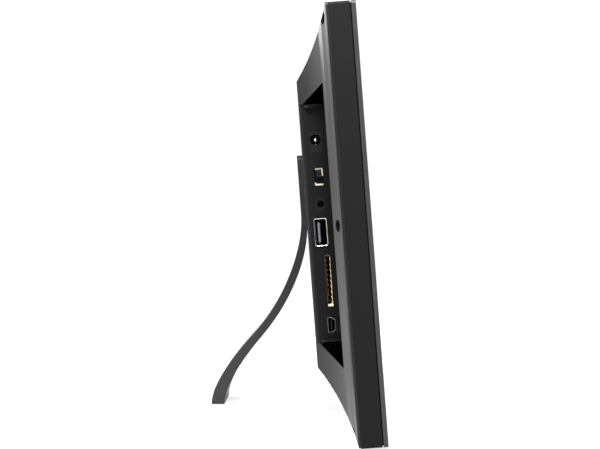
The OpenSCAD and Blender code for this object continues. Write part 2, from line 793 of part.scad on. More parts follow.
module stand_leg() color("#3f3e43") {
    top = hub_z + pad_up;
    below = 20;
    difference() {
        union() {
            intersection() {
                translate([0, base_y, 0]) across(-stand_w, stand_w) polygon(concat(
                    [at(pad_back, top + 1)], outer_curve,
                    [for (i = [len(inner_curve) - 1 : -1 : 0]) inner_curve[i]],
                    [at(pad_front, hub_z - pad_down), at(pad_front, top + 1)]));
                lean() slab(pad_front - 1, foot_reach + 20) translate([0, (top - below) / 2])
                    round_rect(stand_w, top + below, pad_r);
            }
            lean() rod([0, hub_z], hub_r, stub_end, pad_front + 1);
        }
        lean() for (a = [90, 210, 330])
            rod([hub_screw_r * cos(a), hub_z + hub_screw_r * sin(a)], small_screw_r + shank_gap,
                stub_end - 1, stub_end + 6);
        foot_pad_box(0);
    }
}

module foot_pad_box(gap) {
    mid = foot_reach - foot_d / 2;
    block([-stand_w / 2 + 3 + gap, stand_w / 2 - 3 - gap],
        [base_y + mid - 2.4 + gap, base_y + mid + 2.4 - gap], [gap == 0 ? -1 : 0, foot_z + pad_recess]);
}

module foot_pad() color("#1c1c1e") foot_pad_box(tiny);

module hub_retainer() color("#a9adb0") lean() difference() {
    rod([0, hub_z], retainer_r, stub_end - retainer_t, stub_end);
    for (a = [90, 210, 330])
        rod([hub_screw_r * cos(a), hub_z + hub_screw_r * sin(a)], small_screw_r + 0.3,
            stub_end - retainer_t - 1, stub_end + 1);
}

module wave_washer() color("#c3c6c8") lean() difference() {
    rod([0, hub_z], retainer_r - 0.5, stub_end + fit_gap, stub_end + fit_gap + washer_t);
    rod([0, hub_z], hub_r + 0.3, stub_end, stub_end + 1);
}

module hub_screws() color("#8d9092") lean() {
    for (a = [90, 210, 330])
        screw([hub_screw_r * cos(a), hub_z + hub_screw_r * sin(a)], stub_end - retainer_t, small_screw_r,
            small_head_r, small_head_h, stub_end + 5);
}

front_bezel();
lcd_panel();
light_guide();
led_strip();
backlight_tray();
panel_driver_board();
display_clamps();
clamp_screws();
mid_frame();
bezel_screws();
rear_cover();
cover_screws();
port_panel();
port_floor();
main_board();
board_screws();
processor();
heat_sink();
memory_chips();
capacitors();
cell_holder();
coin_cell();
dc_jack();
dc_pin();
switch_body();
switch_knob();
audio_jack();
usb_shell();
usb_tongue();
card_socket();
card_contacts();
mini_usb_shell();
mini_usb_tongue();
display_cable();
key_panel();
key_floor();
key_board();
key_board_screws();
tact_switches();
power_key();
menu_key();
up_key();
enter_key();
down_key();
back_key();
slideshow_key();
key_cable();
left_speaker();
right_speaker();
speaker_screws();
stand_leg();
foot_pad();
hub_retainer();
wave_washer();
hub_screws();
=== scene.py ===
import bmesh
import bpy
import json
import math
from mathutils import Matrix, Vector


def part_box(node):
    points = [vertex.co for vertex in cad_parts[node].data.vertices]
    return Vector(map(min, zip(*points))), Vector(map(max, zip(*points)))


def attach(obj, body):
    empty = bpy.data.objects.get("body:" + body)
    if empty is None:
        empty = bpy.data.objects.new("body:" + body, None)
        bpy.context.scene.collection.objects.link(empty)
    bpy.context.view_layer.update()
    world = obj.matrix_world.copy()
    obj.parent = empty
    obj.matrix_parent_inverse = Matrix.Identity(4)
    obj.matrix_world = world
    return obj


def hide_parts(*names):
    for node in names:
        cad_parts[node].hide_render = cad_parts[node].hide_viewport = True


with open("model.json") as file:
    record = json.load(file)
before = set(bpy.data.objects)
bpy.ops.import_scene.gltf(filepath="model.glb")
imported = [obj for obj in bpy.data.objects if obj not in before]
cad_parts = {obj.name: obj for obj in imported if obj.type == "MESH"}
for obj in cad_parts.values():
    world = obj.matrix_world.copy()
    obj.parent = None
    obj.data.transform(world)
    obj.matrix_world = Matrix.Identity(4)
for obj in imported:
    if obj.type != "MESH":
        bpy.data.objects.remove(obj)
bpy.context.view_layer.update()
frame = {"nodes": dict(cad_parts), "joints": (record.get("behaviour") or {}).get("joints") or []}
nodes = frame["nodes"]
mm = 0.001


# The housing leans back: its own frame has x across, y to the rear and z up the screen
swivel = next(j for j in frame["joints"] if j["name"] == "stand_swivel")
lean = math.asin(swivel["axis"][2])
heel = min((v.co for v in nodes["rear_cover"].data.vertices), key=lambda co: co.z)
housing = Matrix.Translation((0, heel.y, 0)) @ Matrix.Rotation(-lean, 4, "X")
toHousing = housing.inverted()


# lowest and highest corner of a node in the housing's own frame
def leanBox(name):
    points = [toHousing @ v.co for v in nodes[name].data.vertices]
    low = Vector([min(p[i] for p in points) for i in range(3)])
    high = Vector([max(p[i] for p in points) for i in range(3)])
    return low, high


# sRGB hex to linear
def linear(hexColour):
    channels = [int(hexColour[i:i + 2], 16) / 255 for i in (1, 3, 5)]
    return [c / 12.92 if c <= 0.04045 else ((c + 0.055) / 1.055) ** 2.4 for c in channels] + [1.0]


# adds a node with its settings, its values and what is linked into it
def addNode(tree, kind, values=None, links=None, **settings):
    node = tree.nodes.new(kind)
    for key, value in settings.items():
        setattr(node, key, value)
    for key, value in (values or {}).items():
        node.inputs[key].default_value = value
    for key, source in (links or {}).items():
        tree.links.new(source, node.inputs[key])
    return node


# Noise levels between which a patch of tint or gloss turns into the next
patchEdges = (0.3, 0.7)


# one finish: slow tint and roughness over patches, and a bump whose grain is in mm
def surface(name, colour, roughness, metallic=0.0, ior=None, grain=0.5, depth=0.01, tint=0.05, patch=9.0,
            roughSpread=0.0, coat=0.0, brushed=None, specular=None):
    material = bpy.data.materials.new(name)
    material.use_nodes = True
    tree = material.node_tree
    shader = tree.nodes["Principled BSDF"]
    base = linear(colour)
    shader.inputs["Base Color"].default_value = base
    shader.inputs["Roughness"].default_value = roughness
    shader.inputs["Metallic"].default_value = metallic
    shader.inputs["Coat Weight"].default_value = coat
    if ior:
        shader.inputs["IOR"].default_value = ior
    if specular is not None:
        shader.inputs["Specular IOR Level"].default_value = specular
    place = addNode(tree, "ShaderNodeTexCoord").outputs["Object"]
    slow = addNode(tree, "ShaderNodeTexNoise", {"Scale": 1 / (patch * mm), "Detail": 3}, {"Vector": place})
    ramp = addNode(tree, "ShaderNodeValToRGB", links={"Fac": slow.outputs["Fac"]})
    for stop, at, shift in zip(ramp.color_ramp.elements, patchEdges, (-tint, tint)):
        stop.position = at
        stop.color = [c * (1 + shift) for c in base[:3]] + [1]
    tree.links.new(ramp.outputs["Color"], shader.inputs["Base Color"])
    if roughSpread:
        spread = addNode(tree, "ShaderNodeMapRange",
                         {"From Min": patchEdges[0], "From Max": patchEdges[1],
                          "To Min": roughness - roughSpread, "To Max": roughness + roughSpread},
                         {"Value": slow.outputs["Fac"]})
        tree.links.new(spread.outputs["Result"], shader.inputs["Roughness"])
    vector = place
    if brushed:
        vector = addNode(tree, "ShaderNodeMapping", {"Scale": brushed}, {"Vector": place}).outputs["Vector"]
    if grain:
        fine = addNode(tree, "ShaderNodeTexNoise", {"Scale": 1 / (grain * mm), "Detail": 2, "Roughness": 0.6},
                       {"Vector": vector})
        bump = addNode(tree, "ShaderNodeBump", {"Strength": 1.0, "Distance": depth * mm},
                       {"Height": fine.outputs["Fac"]})
        tree.links.new(bump.outputs["Normal"], shader.inputs["Normal"])
    return material


# Real grains are 0.05 to 0.2 mm: they are drawn at 0.2 mm and up, or they wouldn't show from arm's length
finishes = {
    # ABS from a spark-eroded mould: an even, fine matt grain
    "housing": surface("Moulded ABS, spark texture", "#101011", 0.55, ior=1.53, grain=0.55, depth=0.035,
                       patch=25, roughSpread=0.015, specular=0.12),
    # the cover's mould is finer, so its slopes catch a soft broad shine
    "cover": surface("Moulded ABS, fine texture", "#161617", 0.34, ior=1.53, grain=0.45, depth=0.02,
                     tint=0.03, patch=40, roughSpread=0.01, specular=0.24),
    # the same ABS from a smoother mould face: a greyer satin
    "bezel": surface("Moulded ABS, satin", "#2c2c2d", 0.36, ior=1.53, depth=0.015, tint=0.06,
                     patch=14, roughSpread=0.04, specular=0.4),
    # the recess ABS is darker than the housing's, as painted shade of the recess, and hardly shines, which
    # makes the sockets stand out
    "recess": surface("Moulded ABS, darkened as painted recess shade", "#0b0b0c", 0.55, ior=1.5, depth=0.03,
                      patch=20, roughSpread=0.02, specular=0.14),
    # glass-filled nylon: slightly bluish, with a visible fibrous grain
    "stand": surface("Moulded glass-filled nylon", "#1b1b20", 0.46, ior=1.53, grain=0.7, depth=0.05,
                     patch=30, roughSpread=0.015),
    # plain nylon is blacker and smoother than the housing round it
    "nylon": surface("Moulded black nylon", "#080809", 0.42, ior=1.53, grain=0.4, specular=0.25),
    # painted shade: a black darker than the nylon, for the insides of sockets, screw holes, slits and the
    # groove, where hardly any light gets in
    "shade": surface("Black nylon as painted shade", "#050505", 0.7, ior=1.4, grain=0.4, specular=0.15),
    # thin tin dulls to an even grey
    "dullNickel": surface("Tin plated steel, dull", "#a3a4a6", 0.42, metallic=1.0, grain=0.25,
                          tint=0.08, patch=3, roughSpread=0.05),
    # nickel over brass looks warm and pale
    "warmNickel": surface("Nickel plated brass, stamped", "#f2e8d2", 0.5, metallic=1.0, grain=0.25, patch=3),
    # a turned pin is the brightest metal here
    "pinNickel": surface("Nickel plated pin, turned", "#e6e4de", 0.18, metallic=1.0, grain=0.2, depth=0.004,
                         tint=0.04, patch=2),
    # rolled bronze under tin: yellowish, with uneven shine
    "cardLip": surface("Tinned bronze, rolled", "#d9c9a4", 0.3, metallic=1.0, grain=0.3, depth=0.015,
                       tint=0.12, patch=3, roughSpread=0.08),
    # heat-proof connector plastic: an opaque ivory
    "cream": surface("Moulded LCP, cream", "#e8e2cc", 0.4, ior=1.6, grain=0.3),
    # key caps are a shade lighter than the panel round them
    "keys": surface("Moulded ABS, key satin", "#232325", 0.36, ior=1.53, grain=0.45, depth=0.012),
    # the contact tongue: a flat blue grey
    "tongue": surface("Moulded PBT, blue grey", "#6c6f7c", 0.4, ior=1.55, grain=0.4, tint=0.06),
    # drawn shells show faint lines along the draw
    "nickel": surface("Nickel plated steel, drawn", "#c4c2bb", 0.24, metallic=1.0, grain=0.25,
                      patch=3, roughSpread=0.06, brushed=(0.15, 1, 1)),
    # gold darkened to brown as painted shade of the dark slot
    "slotShadeGold": surface("Gold plated bronze, browned as painted slot shade", "#7d5c3c", 0.34, metallic=1.0, grain=0.3,
                    tint=0.12, patch=2, roughSpread=0.08),
    # a stamped cage carries stains from its press oil
    "cardCage": surface("Tinned steel, stamped", "#8e8069", 0.32, metallic=1.0, grain=0.3, depth=0.015,
                        tint=0.16, patch=3, roughSpread=0.08),
    # black zinc: a dark grey with a glint
    "screws": surface("Zinc plated steel, black", "#3c3c3e", 0.35, metallic=1.0, grain=0.2, tint=0.08),
    # blackened heads vanish in their holes
    "blackScrews": surface("Blackened steel, cold headed", "#0b0b0c", 0.5, metallic=1.0, grain=0.2, tint=0.08),
    # black film hides the bright sheet of the display's tray; its black is also painted shade for the inside
    # seen through the recess gaps
    "tray": surface("Steel sheet under black film, painted shade", "#0a0a0b", 0.5, ior=1.5, grain=1.2,
                    tint=0.06, patch=12, roughSpread=0.04, specular=0.2),
    # resist is glossy, and blotchy over the copper under it; its black is partly painted shade for the inside
    # seen through the recess gaps
    "board": surface("Solder resist, black as painted shade", "#0a0c0b", 0.35, ior=1.5, grain=0.6, depth=0.015, tint=0.18,
                     patch=2, specular=0.2),
    # chips are matt as they leave the mould
    "chip": surface("Moulded epoxy, chip", "#101011", 0.5, ior=1.55, grain=0.3),
    # shrunk sleeves are glossy and dark blue
    "sleeve": surface("Shrunk PVC sleeve", "#1b2030", 0.3, ior=1.5, grain=0.6, depth=0.008, tint=0.06),
    # extrusion lines run up the fins
    "sink": surface("Extruded aluminium", "#b9bbbd", 0.36, metallic=1.0, grain=0.4, depth=0.02,
                    brushed=(1, 0.1, 1)),
    # polariser over the panel: near black, a sharp but slightly hazed mirror
    "screen": surface("Polariser film on glass", "#08080a", 0.16, ior=1.5, grain=0.35, depth=0.002,
                      patch=40, coat=0.2),
    # the light guide: a milky plate
    "acrylic": surface("Cast acrylic, diffusing", "#dfe6e8", 0.4, ior=1.49, tint=0.03),
    # unlit phosphor is pale yellow
    "phosphor": surface("Phosphor on ceramic", "#efe3ac", 0.5, ior=1.5, tint=0.08, patch=3),
    # bare polyimide is amber
    "film": surface("Polyimide flat cable", "#b59c63", 0.4, ior=1.5, depth=0.008, tint=0.10, patch=4),
    # rubber is dull, with dusty patches
    "rubber": surface("Moulded rubber", "#0d0d0d", 0.7, ior=1.5, depth=0.02, tint=0.08, patch=3),
    # pressed pulp is fibrous and matt
    "paper": surface("Pressed speaker paper", "#1a1a1b", 0.75, ior=1.4, depth=0.04, tint=0.12, patch=3),
}

keyNames = [n for n in nodes if n.endswith("_key")]
finishOf = {
    "bezel": ["front_bezel"],
    "housing": ["mid_frame"],
    "cover": ["rear_cover"],
    "recess": ["port_panel", "key_panel", "port_floor", "key_floor"],
    "stand": ["stand_leg"],
    "nylon": ["dc_jack", "audio_jack", "switch_knob", "cell_holder", "mini_usb_tongue"],
    "keys": keyNames,
    "tongue": ["usb_tongue"],
    "nickel": ["switch_body", "usb_shell", "mini_usb_shell", "dc_pin", "coin_cell", "wave_washer",
               "hub_retainer"],
    "cardCage": ["card_socket"],
    "slotShadeGold": ["card_contacts"],
    "screws": [n for n in nodes if n.endswith("_screws")],
    "tray": ["backlight_tray", "display_clamps"],
    "board": ["main_board", "key_board", "panel_driver_board"],
    "chip": ["processor", "memory_chips", "tact_switches"],
    "sleeve": ["capacitors"],
    "sink": ["heat_sink"],
    "screen": ["lcd_panel"],
    "acrylic": ["light_guide"],
    "phosphor": ["led_strip"],
    "film": ["display_cable", "key_cable"],
    "rubber": ["foot_pad"],
    "paper": ["left_speaker", "right_speaker"],
}

# Rounded edges in mm: moulded parts have generous ones, stamped and cut parts a trace
edgeRound = {
    "front_bezel": 0.5, "mid_frame": 0.8, "rear_cover": 0.45, "port_panel": 0.15, "key_panel": 0.15,
    "stand_leg": 0.9, "foot_pad": 0.3, "dc_jack": 0.06, "audio_jack": 0.25, "switch_knob": 0.25,
    "switch_body": 0.12, "usb_tongue": 0.2, "card_socket": 0.12, "mini_usb_shell": 0.12,
    "mini_usb_tongue": 0.12, "heat_sink": 0.1, "cover_screws": 0.15, "hub_retainer": 0.15,
}
rounding = {"trace": 0.08, "weld": 0.002, "faceWeight": 80, "nodeSegments": 3, "nodeAngle": 32,
            "pieceSegments": 2, "pieceAngle": 30}
longCurves = ["rear_cover", "stand_leg"]


def roundEdges(piece, width, segments, angle):
    bevel = piece.modifiers.new("round", "BEVEL")
    bevel.width = width * mm
    bevel.segments = segments
    bevel.limit_method = "ANGLE"
    bevel.angle_limit = math.radians(angle)
    return bevel


def evenNormals(piece):
    normals = piece.modifiers.new("normals", "WEIGHTED_NORMAL")
    normals.keep_sharp = True
    return normals


# gives a CAD node its finish, closes its tiny seams and rounds its edges
def dress(name, material):
    piece = nodes[name]
    mesh = piece.data
    mesh.materials.clear()
    mesh.materials.append(material)
    if "custom_normal" in mesh.attributes:
        mesh.attributes.remove(mesh.attributes["custom_normal"])
    mesh.shade_smooth()
    weld = piece.modifiers.new("weld", "WELD")
    weld.merge_threshold = rounding["weld"] * mm
    bevel = roundEdges(piece, edgeRound.get(name, rounding["trace"]), rounding["nodeSegments"],
                       rounding["nodeAngle"])
    bevel.miter_outer = "MITER_ARC"
    # long curves keep their own normals, so that no facet of them shows
    if name in longCurves:
        bevel.harden_normals = True
    else:
        evenNormals(piece).weight = rounding["faceWeight"]


for finish, names in finishOf.items():
    for name in names:
        dress(name, finishes[finish])
print("finishes:", len(finishes))

# The sockets are seen face on: x goes into the side, y to the rear and z up, in mm from the wall
jackInset = 0.2  # how far the power socket's face lies behind the wall
wallX = leanBox("dc_jack")[0].x / mm - jackInset


# centre of a node's face, as y and z in mm
def middle(name):
    low, high = leanBox(name)
    return (low.y + high.y) / 2 / mm, (low.z + high.z) / 2 / mm


# corners of a rectangle with round corners, as y and z
def roundRect(height, length, radius, steps=5):
    points = []
    for i, (a, b) in enumerate([(1, 1), (-1, 1), (-1, -1), (1, -1)]):
        for k in range(steps + 1):
            turn = math.radians(90 * (i + k / steps))
            points.append((a * (height / 2 - radius) + radius * math.cos(turn),
                           b * (length / 2 - radius) + radius * math.sin(turn)))
    return points


def circle(radius, steps=40):
    return [(radius * math.cos(2 * math.pi * k / steps), radius * math.sin(2 * math.pi * k / steps))
            for k in range(steps)]


def scaled(outline, size):
    return [(size * a, size * b) for a, b in outline]


# rings of one rectangle, from (depth, what it grows by, corner radius) of each
def grown(height, length, profile):
    return [(depth, roundRect(height + grow, length + grow, radius)) for depth, grow, radius in profile]


# faces between rows of as many points each
def skin(shape, rows):
    count = len(rows[0])
    for a, b in zip(rows, rows[1:]):
        for i in range(count):
            shape.faces.new((a[i], a[(i + 1) % count], b[(i + 1) % count], b[i]))


# closes a skin's two ends
def cap(shape, rows, start=True, end=True):
    if start:
        shape.faces.new(rows[0])
    if end:
        shape.faces.new(rows[-1][::-1])


# joins rings of points, given as (depth, outline), into a closed shape, or one open at its start
def loft(shape, rings, centre=(0, 0), capStart=True):
    rows = [[shape.verts.new((depth, centre[0] + y, centre[1] + z)) for y, z in outline]
            for depth, outline in rings]
    skin(shape, rows)
    cap(shape, rows, start=capStart)


# joins rings into a hollow band, whose last ring meets the first
def band(shape, rings, centre=(0, 0)):
    rows = [[shape.verts.new((depth, centre[0] + y, centre[1] + z)) for y, z in outline]
            for depth, outline in rings]
    skin(shape, rows + rows[:1])


# a flat bar along a path of (depth, y) points, from z0 to z1
def strip(shape, path, thick, z0, z1):
    rows = []
    for i, (depth, y) in enumerate(path):
        a, b = path[max(i - 1, 0)], path[min(i + 1, len(path) - 1)]
        along = Vector((b[0] - a[0], b[1] - a[1])).normalized() * thick / 2
        rows.append([shape.verts.new((depth + sx * along.y, y - sx * along.x, z))
                     for sx, z in ((1, z0), (1, z1), (-1, z1), (-1, z0))])
    skin(shape, rows)
    cap(shape, rows)


# turns a shape in mm from the wall's frame into a piece of the model; side is -1 for the keys' side
def makePiece(name, shape, finish, body="housing", stands=(), edge=0.0, side=1):
    bmesh.ops.recalc_face_normals(shape, faces=shape.faces)
    for vert in shape.verts:
        vert.co = housing @ (Vector(((wallX + vert.co.x) * side, vert.co.y, vert.co.z)) * mm)
    if side < 0:
        bmesh.ops.reverse_faces(shape, faces=shape.faces)
    mesh = bpy.data.meshes.new(name)
    shape.to_mesh(mesh)
    shape.free()
    mesh.shade_smooth()
    piece = bpy.data.objects.new(name, mesh)
    bpy.context.scene.collection.objects.link(piece)
    mesh.materials.append(finishes[finish])
    if edge:
        roundEdges(piece, edge, rounding["pieceSegments"], rounding["pieceAngle"])
    evenNormals(piece)
    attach(piece, body)
    if stands:
        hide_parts(*stands)


# USB socket: a thin drawn shell whose four lips flare out, lined with a black sheet of painted shade
usb = {"height": 5.1, "length": 12.5, "wall": 0.32, "depth": 13.5, "flare": 0.75, "behindTongue": 1.275,
       "tongueThick": 1.35, "tongueLength": 10.6, "tongueAt": 0.95,
       "contacts": 4, "contactPitch": 2.2, "contactWidth": 1.0, "contactThick": 0.16}


def usbSocket():
    y, z = middle("usb_tongue")
    y -= usb["behindTongue"]
    h, l, deep, flare = usb["height"], usb["length"], usb["depth"], usb["flare"]
    outer = 2 * usb["wall"]
    shell = bmesh.new()
    loft(shell, grown(h, l, [(deep, outer, 0.8), (0.3, outer, 0.8), (-0.2, outer + 0.2, 0.8),
                             (-0.5, outer + flare, 0.9), (-0.62, outer + flare, 0.9), (-0.55, flare, 0.7),
                             (-0.1, 0.15, 0.5), (0.35, 0, 0.5), (deep - 0.4, 0, 0.5)]), (y, z))
    makePiece("usb_socket_shell", shell, "nickel", stands=["usb_shell"])
    # a black lining of painted shade inside the shell
    shadeLiner = bmesh.new()
    loft(shadeLiner, grown(h, l, [(0.9, -0.02, 0.5), (0.9, -0.3, 0.4), (deep - 0.8, -0.3, 0.4)]), (y, z),
         capStart=False)
    makePiece("usb_socket_shade_liner", shadeLiner, "shade")
    tongue = bmesh.new()
    thick, wide = usb["tongueThick"], usb["tongueLength"]
    loft(tongue, [(1.0, roundRect(thick * 0.55, wide * 0.94, 0.3)), (1.5, roundRect(thick, wide, 0.3)),
                  (deep - 0.6, roundRect(thick, wide, 0.3))], (y + usb["tongueAt"], z))
    makePiece("usb_socket_tongue", tongue, "tongue", stands=["usb_tongue"],
              edge=0.1)
    contacts = bmesh.new()
    face = y + usb["tongueAt"] - thick / 2
    half = usb["contactWidth"] / 2
    for i in range(usb["contacts"]):
        at = z + (i - (usb["contacts"] - 1) / 2) * usb["contactPitch"]
        strip(contacts, [(2.4, face + 0.05), (3.6, face - 0.22), (6.2, face - 0.1), (10, face)],
              usb["contactThick"], at - half, at + half)
    makePiece("usb_socket_contacts", contacts, "slotShadeGold")


# Mini-USB socket: a thin trapezoid shell with a dark tongue
mini = {"height": 3.9, "length": 7.6, "wall": 0.28, "step": 1.2, "corner": 0.3, "depth": 8.6, "shadeLiner": 0.12,
        "tongueThick": 0.95, "tongueLength": 5.0, "contacts": 5, "contactPitch": 0.8}


# the shell's outline, grown by some mm on every side
def miniOutline(grow):
    d, h = mini["height"] / 2 + grow, mini["length"] / 2 + grow
    s, r = mini["step"], mini["corner"]
    upper = [(d, h - r), (d - r, h), (0.45, h), (0.1, h - 0.1), (-d + 0.25, h - s + 0.25), (-d, h - s)]
    return [(a, -b) for a, b in reversed(upper)] + upper


def miniSocket():
    y, z = middle("mini_usb_shell")
    wall, shadeLiner, deep = mini["wall"], mini["shadeLiner"], mini["depth"]
    shell = bmesh.new()
    loft(shell, [(deep, miniOutline(0)), (0.1, miniOutline(0)), (-0.12, miniOutline(-0.05)),
                 (-0.12, miniOutline(-wall + 0.04)), (deep - 0.3, miniOutline(-wall))], (y, z))
    makePiece("mini_usb_socket_shell", shell, "dullNickel", stands=["mini_usb_shell"])
    # a black lining of painted shade inside the shell
    shadeLining = bmesh.new()
    loft(shadeLining, [(0.4, miniOutline(-wall - 0.01)), (0.4, miniOutline(-wall - shadeLiner)),
                  (deep - 0.5, miniOutline(-wall - shadeLiner))], (y, z), capStart=False)
    makePiece("mini_usb_socket_shade_liner", shadeLining, "shade")
    tongue = bmesh.new()
    thick, long = mini["tongueThick"], mini["tongueLength"]
    loft(tongue, [(0.8, roundRect(thick - 0.35, long - 0.4, 0.2)), (1.1, roundRect(thick, long, 0.25)),
                  (deep - 0.5, roundRect(thick, long, 0.25))], (y + 0.1, z))
    for i in range(mini["contacts"]):
        at = z + (i - (mini["contacts"] - 1) / 2) * mini["contactPitch"]
        contact = roundRect(0.14, 0.4, 0.05, 2)
        loft(tongue, [(1.6, contact), (7, contact)], (y - 0.42, at))
    makePiece("mini_usb_socket_tongue", tongue, "nylon", stands=["mini_usb_tongue"])


# Card slot: a stamped cage with a scalloped front lip, a row of sprung contacts and a pale end guide
card = {"height": 3.1, "length": 25.6, "wall": 0.25, "depth": 27, "pitch": 2.5, "contacts": 9,
        "contactWidth": 1.1, "contactThick": 0.18, "tailThick": 0.14,
        "lipSteps": 96, "lipNarrow": 0.3, "lipWave": 0.35, "lipWiden": 0.45, "guideLength": 1.35}


# the lip of the front wall rolls out between the contacts and widens downwards
def cardLip(y, z):
    lip = bmesh.new()
    front = y - card["height"] / 2
    rows = []
    for k in range(card["lipSteps"] + 1):
        t = k / card["lipSteps"]
        at = z + card["length"] / 2 - 0.5 - t * (card["length"] - 1.6)
        wave = 0.5 - 0.5 * math.cos(2 * math.pi * t * card["contacts"])
        wide = card["lipNarrow"] + card["lipWave"] * wave + card["lipWiden"] * t
        rows.append([lip.verts.new((depth, front + out, at)) for depth, out in
                     ((0.9, 0.02), (0.1, -0.02), (-0.16, 0.05 + wide * 0.3), (-0.1, 0.1 + wide * 0.75),
                      (0.22, 0.1 + wide), (0.9, 0.14 + wide * 0.9))])
    skin(lip, rows)
    cap(lip, rows)
    makePiece("card_slot_lip", lip, "cardLip")


def cardSlot():
    y, z = middle("card_socket")
    h, l, deep = card["height"], card["length"], card["depth"]
    inner = -2 * card["wall"]
    cage = bmesh.new()
    loft(cage, grown(h, l, [(deep, 0, 0.35), (0.12, 0, 0.35), (0.0, -0.12, 0.3), (0.06, inner + 0.1, 0.2),
                            (0.3, inner, 0.2), (deep - 0.4, inner, 0.2)]), (y, z))
    makePiece("card_slot_cage", cage, "cardCage", stands=["card_socket"])
    cardLip(y, z)
    # a black lining of painted shade inside the cage
    shadeLiner = bmesh.new()
    loft(shadeLiner, grown(h, l, [(1.2, inner - 0.02, 0.2), (1.2, inner - 0.2, 0.2),
                             (deep - 0.6, inner - 0.2, 0.2)]), (y, z), capStart=False)
    makePiece("card_slot_shade_liner", shadeLiner, "shade")
    springs = bmesh.new()
    half = card["contactWidth"] / 2
    for i in range(card["contacts"]):
        at = z + (i - (card["contacts"] - 1) / 2) * card["pitch"] + 0.3
        strip(springs, [(1.6, y + 0.95), (1.9, y + 0.35), (2.3, y + 0.1), (2.9, y + 0.3), (6, y + 1.0)],
              card["contactThick"], at - half, at + half)
        strip(springs, [(1.3, y + 1.15), (1.32, y + 0.75), (2.2, y + 0.6)], card["tailThick"],
              at + 0.75, at + 1.35)
    makePiece("card_slot_contacts", springs, "slotShadeGold", stands=["card_contacts"])
    guide = bmesh.new()
    long = card["guideLength"]
    loft(guide, [(-0.12, roundRect(h - 0.5, long - 0.45, 0.25)), (0.2, roundRect(h - 0.3, long, 0.3)),
                 (2.5, roundRect(h - 0.3, long, 0.3))], (y - 0.1, z - l / 2 + 0.75))
    makePiece("card_slot_guide", guide, "cream", edge=0.08)


# Power switch: a body in painted-shade black fills its window where the switch's face lies in shade, a bent
# metal frame on two sides and a metal foot below
switch = {"height": 4.5, "length": 9.0, "band": 0.75, "bodyHeight": 6, "bodyLength": 11.4, "frameBack": 1.25,
          "frameFront": 0.7, "footFront": 0.8, "ridges": 3, "ridgePitch": 0.95}


def powerSwitch():
    y, z = middle("switch_body")
    h, l = switch["height"], switch["length"]
    body = bmesh.new()
    flange = roundRect(switch["bodyHeight"], switch["bodyLength"], 0.4)
    window = roundRect(h, l, 0.4)
    loft(body, [(5.5, flange), (1.7, flange), (1.6, window), (1.2, window)], (y, z))
    makePiece("power_switch_shade_body", body, "shade", stands=["switch_body"])
    metal = bmesh.new()
    right, left, top, low = -h / 2 + 0.1, h / 2 - 0.7, l / 2 - 0.1, -l / 2 + 0.12
    wide = switch["band"]
    corners = [(left, top), (right, top), (right, 0.1), (right + wide, 0.5), (right + wide, top - wide),
               (left, top - wide - 0.15)]
    loft(metal, [(switch["frameFront"], corners), (switch["frameBack"], corners)], (y, z))
    # the foot stays clear of the knob's way
    foot = [(h / 2 - 0.1, low), (h / 2 - 0.1, -l / 2 + 1.9), (h / 2 - 0.75, -l / 2 + 1.5),
            (h / 2 - 0.85, -l / 2 + 0.9), (-h / 2 + 0.2, -l / 2 + 0.85), (-h / 2 + 0.2, low)]
    loft(metal, [(switch["footFront"], foot), (switch["frameBack"], foot)], (y, z))
    makePiece("power_switch_frame", metal, "warmNickel", edge=0.1)
    # the knob: a ridged cap on its slider
    y, z = middle("switch_knob")
    knob = bmesh.new()
    slider = roundRect(4.4, 5.2, 0.3)
    loft(knob, [(2.4, slider), (1.6, slider), (1.55, roundRect(2.5, 3.9, 0.3)),
                (-0.35, roundRect(2.3, 3.7, 0.3)), (-0.5, roundRect(2.0, 3.4, 0.3))], (y, z))
    for i in range(switch["ridges"]):
        at = z + (i - (switch["ridges"] - 1) / 2) * switch["ridgePitch"]
        loft(knob, [(-0.3, roundRect(1.9, 0.45, 0.15, 3)), (-0.58, roundRect(1.7, 0.3, 0.12, 3))], (y, at))
    makePiece("power_switch_knob", knob, "nylon", body="switch_knob", stands=["switch_knob"],
              edge=0.06)


# Power socket: a round-tipped pin in a sleeve, a thin sprung sleeve contact and a foam seal in painted-shade
# black
power = {"pin": 0.95, "front": 1.55, "tip": 0.6, "back": 9.6, "tipSteps": 5, "tipTurn": 17,
         "springBelow": 2.3, "shadeSeal": 0.7, "shadeSealDepth": 1, "shadeSealWidth": 0.24}


def powerSocket():
    y, z = middle("dc_pin")
    r = power["pin"]
    rings = [(power["back"], circle(r)), (power["front"], circle(r))]
    for k in range(1, power["tipSteps"] + 1):
        turn = math.radians(k * power["tipTurn"])
        rings.append((power["front"] - power["tip"] * math.sin(turn), circle(r * math.cos(turn))))
    pin = bmesh.new()
    loft(pin, rings, (y, z))
    makePiece("power_socket_pin", pin, "pinNickel", stands=["dc_pin"])
    spring = bmesh.new()
    loft(spring, [(1.4, roundRect(1.5, 0.35, 0.1, 2)), (3.5, roundRect(1.5, 0.5, 0.1, 2))],
         (y, z - power["springBelow"]))
    makePiece("power_socket_spring", spring, "dullNickel")
    # the seal fills the slit round the socket's face, so that no light comes through it; its black is painted
    # shade
    low, high = leanBox("dc_jack")
    size = (high - low) / mm
    inner = roundRect(size.y, size.z, 0.1, 2)
    outer = roundRect(size.y + 2 * power["shadeSealWidth"], size.z + 2 * power["shadeSealWidth"], 0.1, 2)
    front, back = power["shadeSeal"], power["shadeSeal"] + power["shadeSealDepth"]
    shadeSeal = bmesh.new()
    band(shadeSeal, [(front, outer), (front, inner), (back, inner), (back, outer)], middle("dc_jack"))
    makePiece("power_socket_shade_seal", shadeSeal, "shade")


# Keys: pillow-topped caps with a soft flange, one to each press
keyCap = {"flange": 1.0, "flangeDepth": 1.3, "flangeCorner": 0.6, "corner": 0.9, "dome": 0.35, "edge": 0.5,
          "edgeSteps": 4}


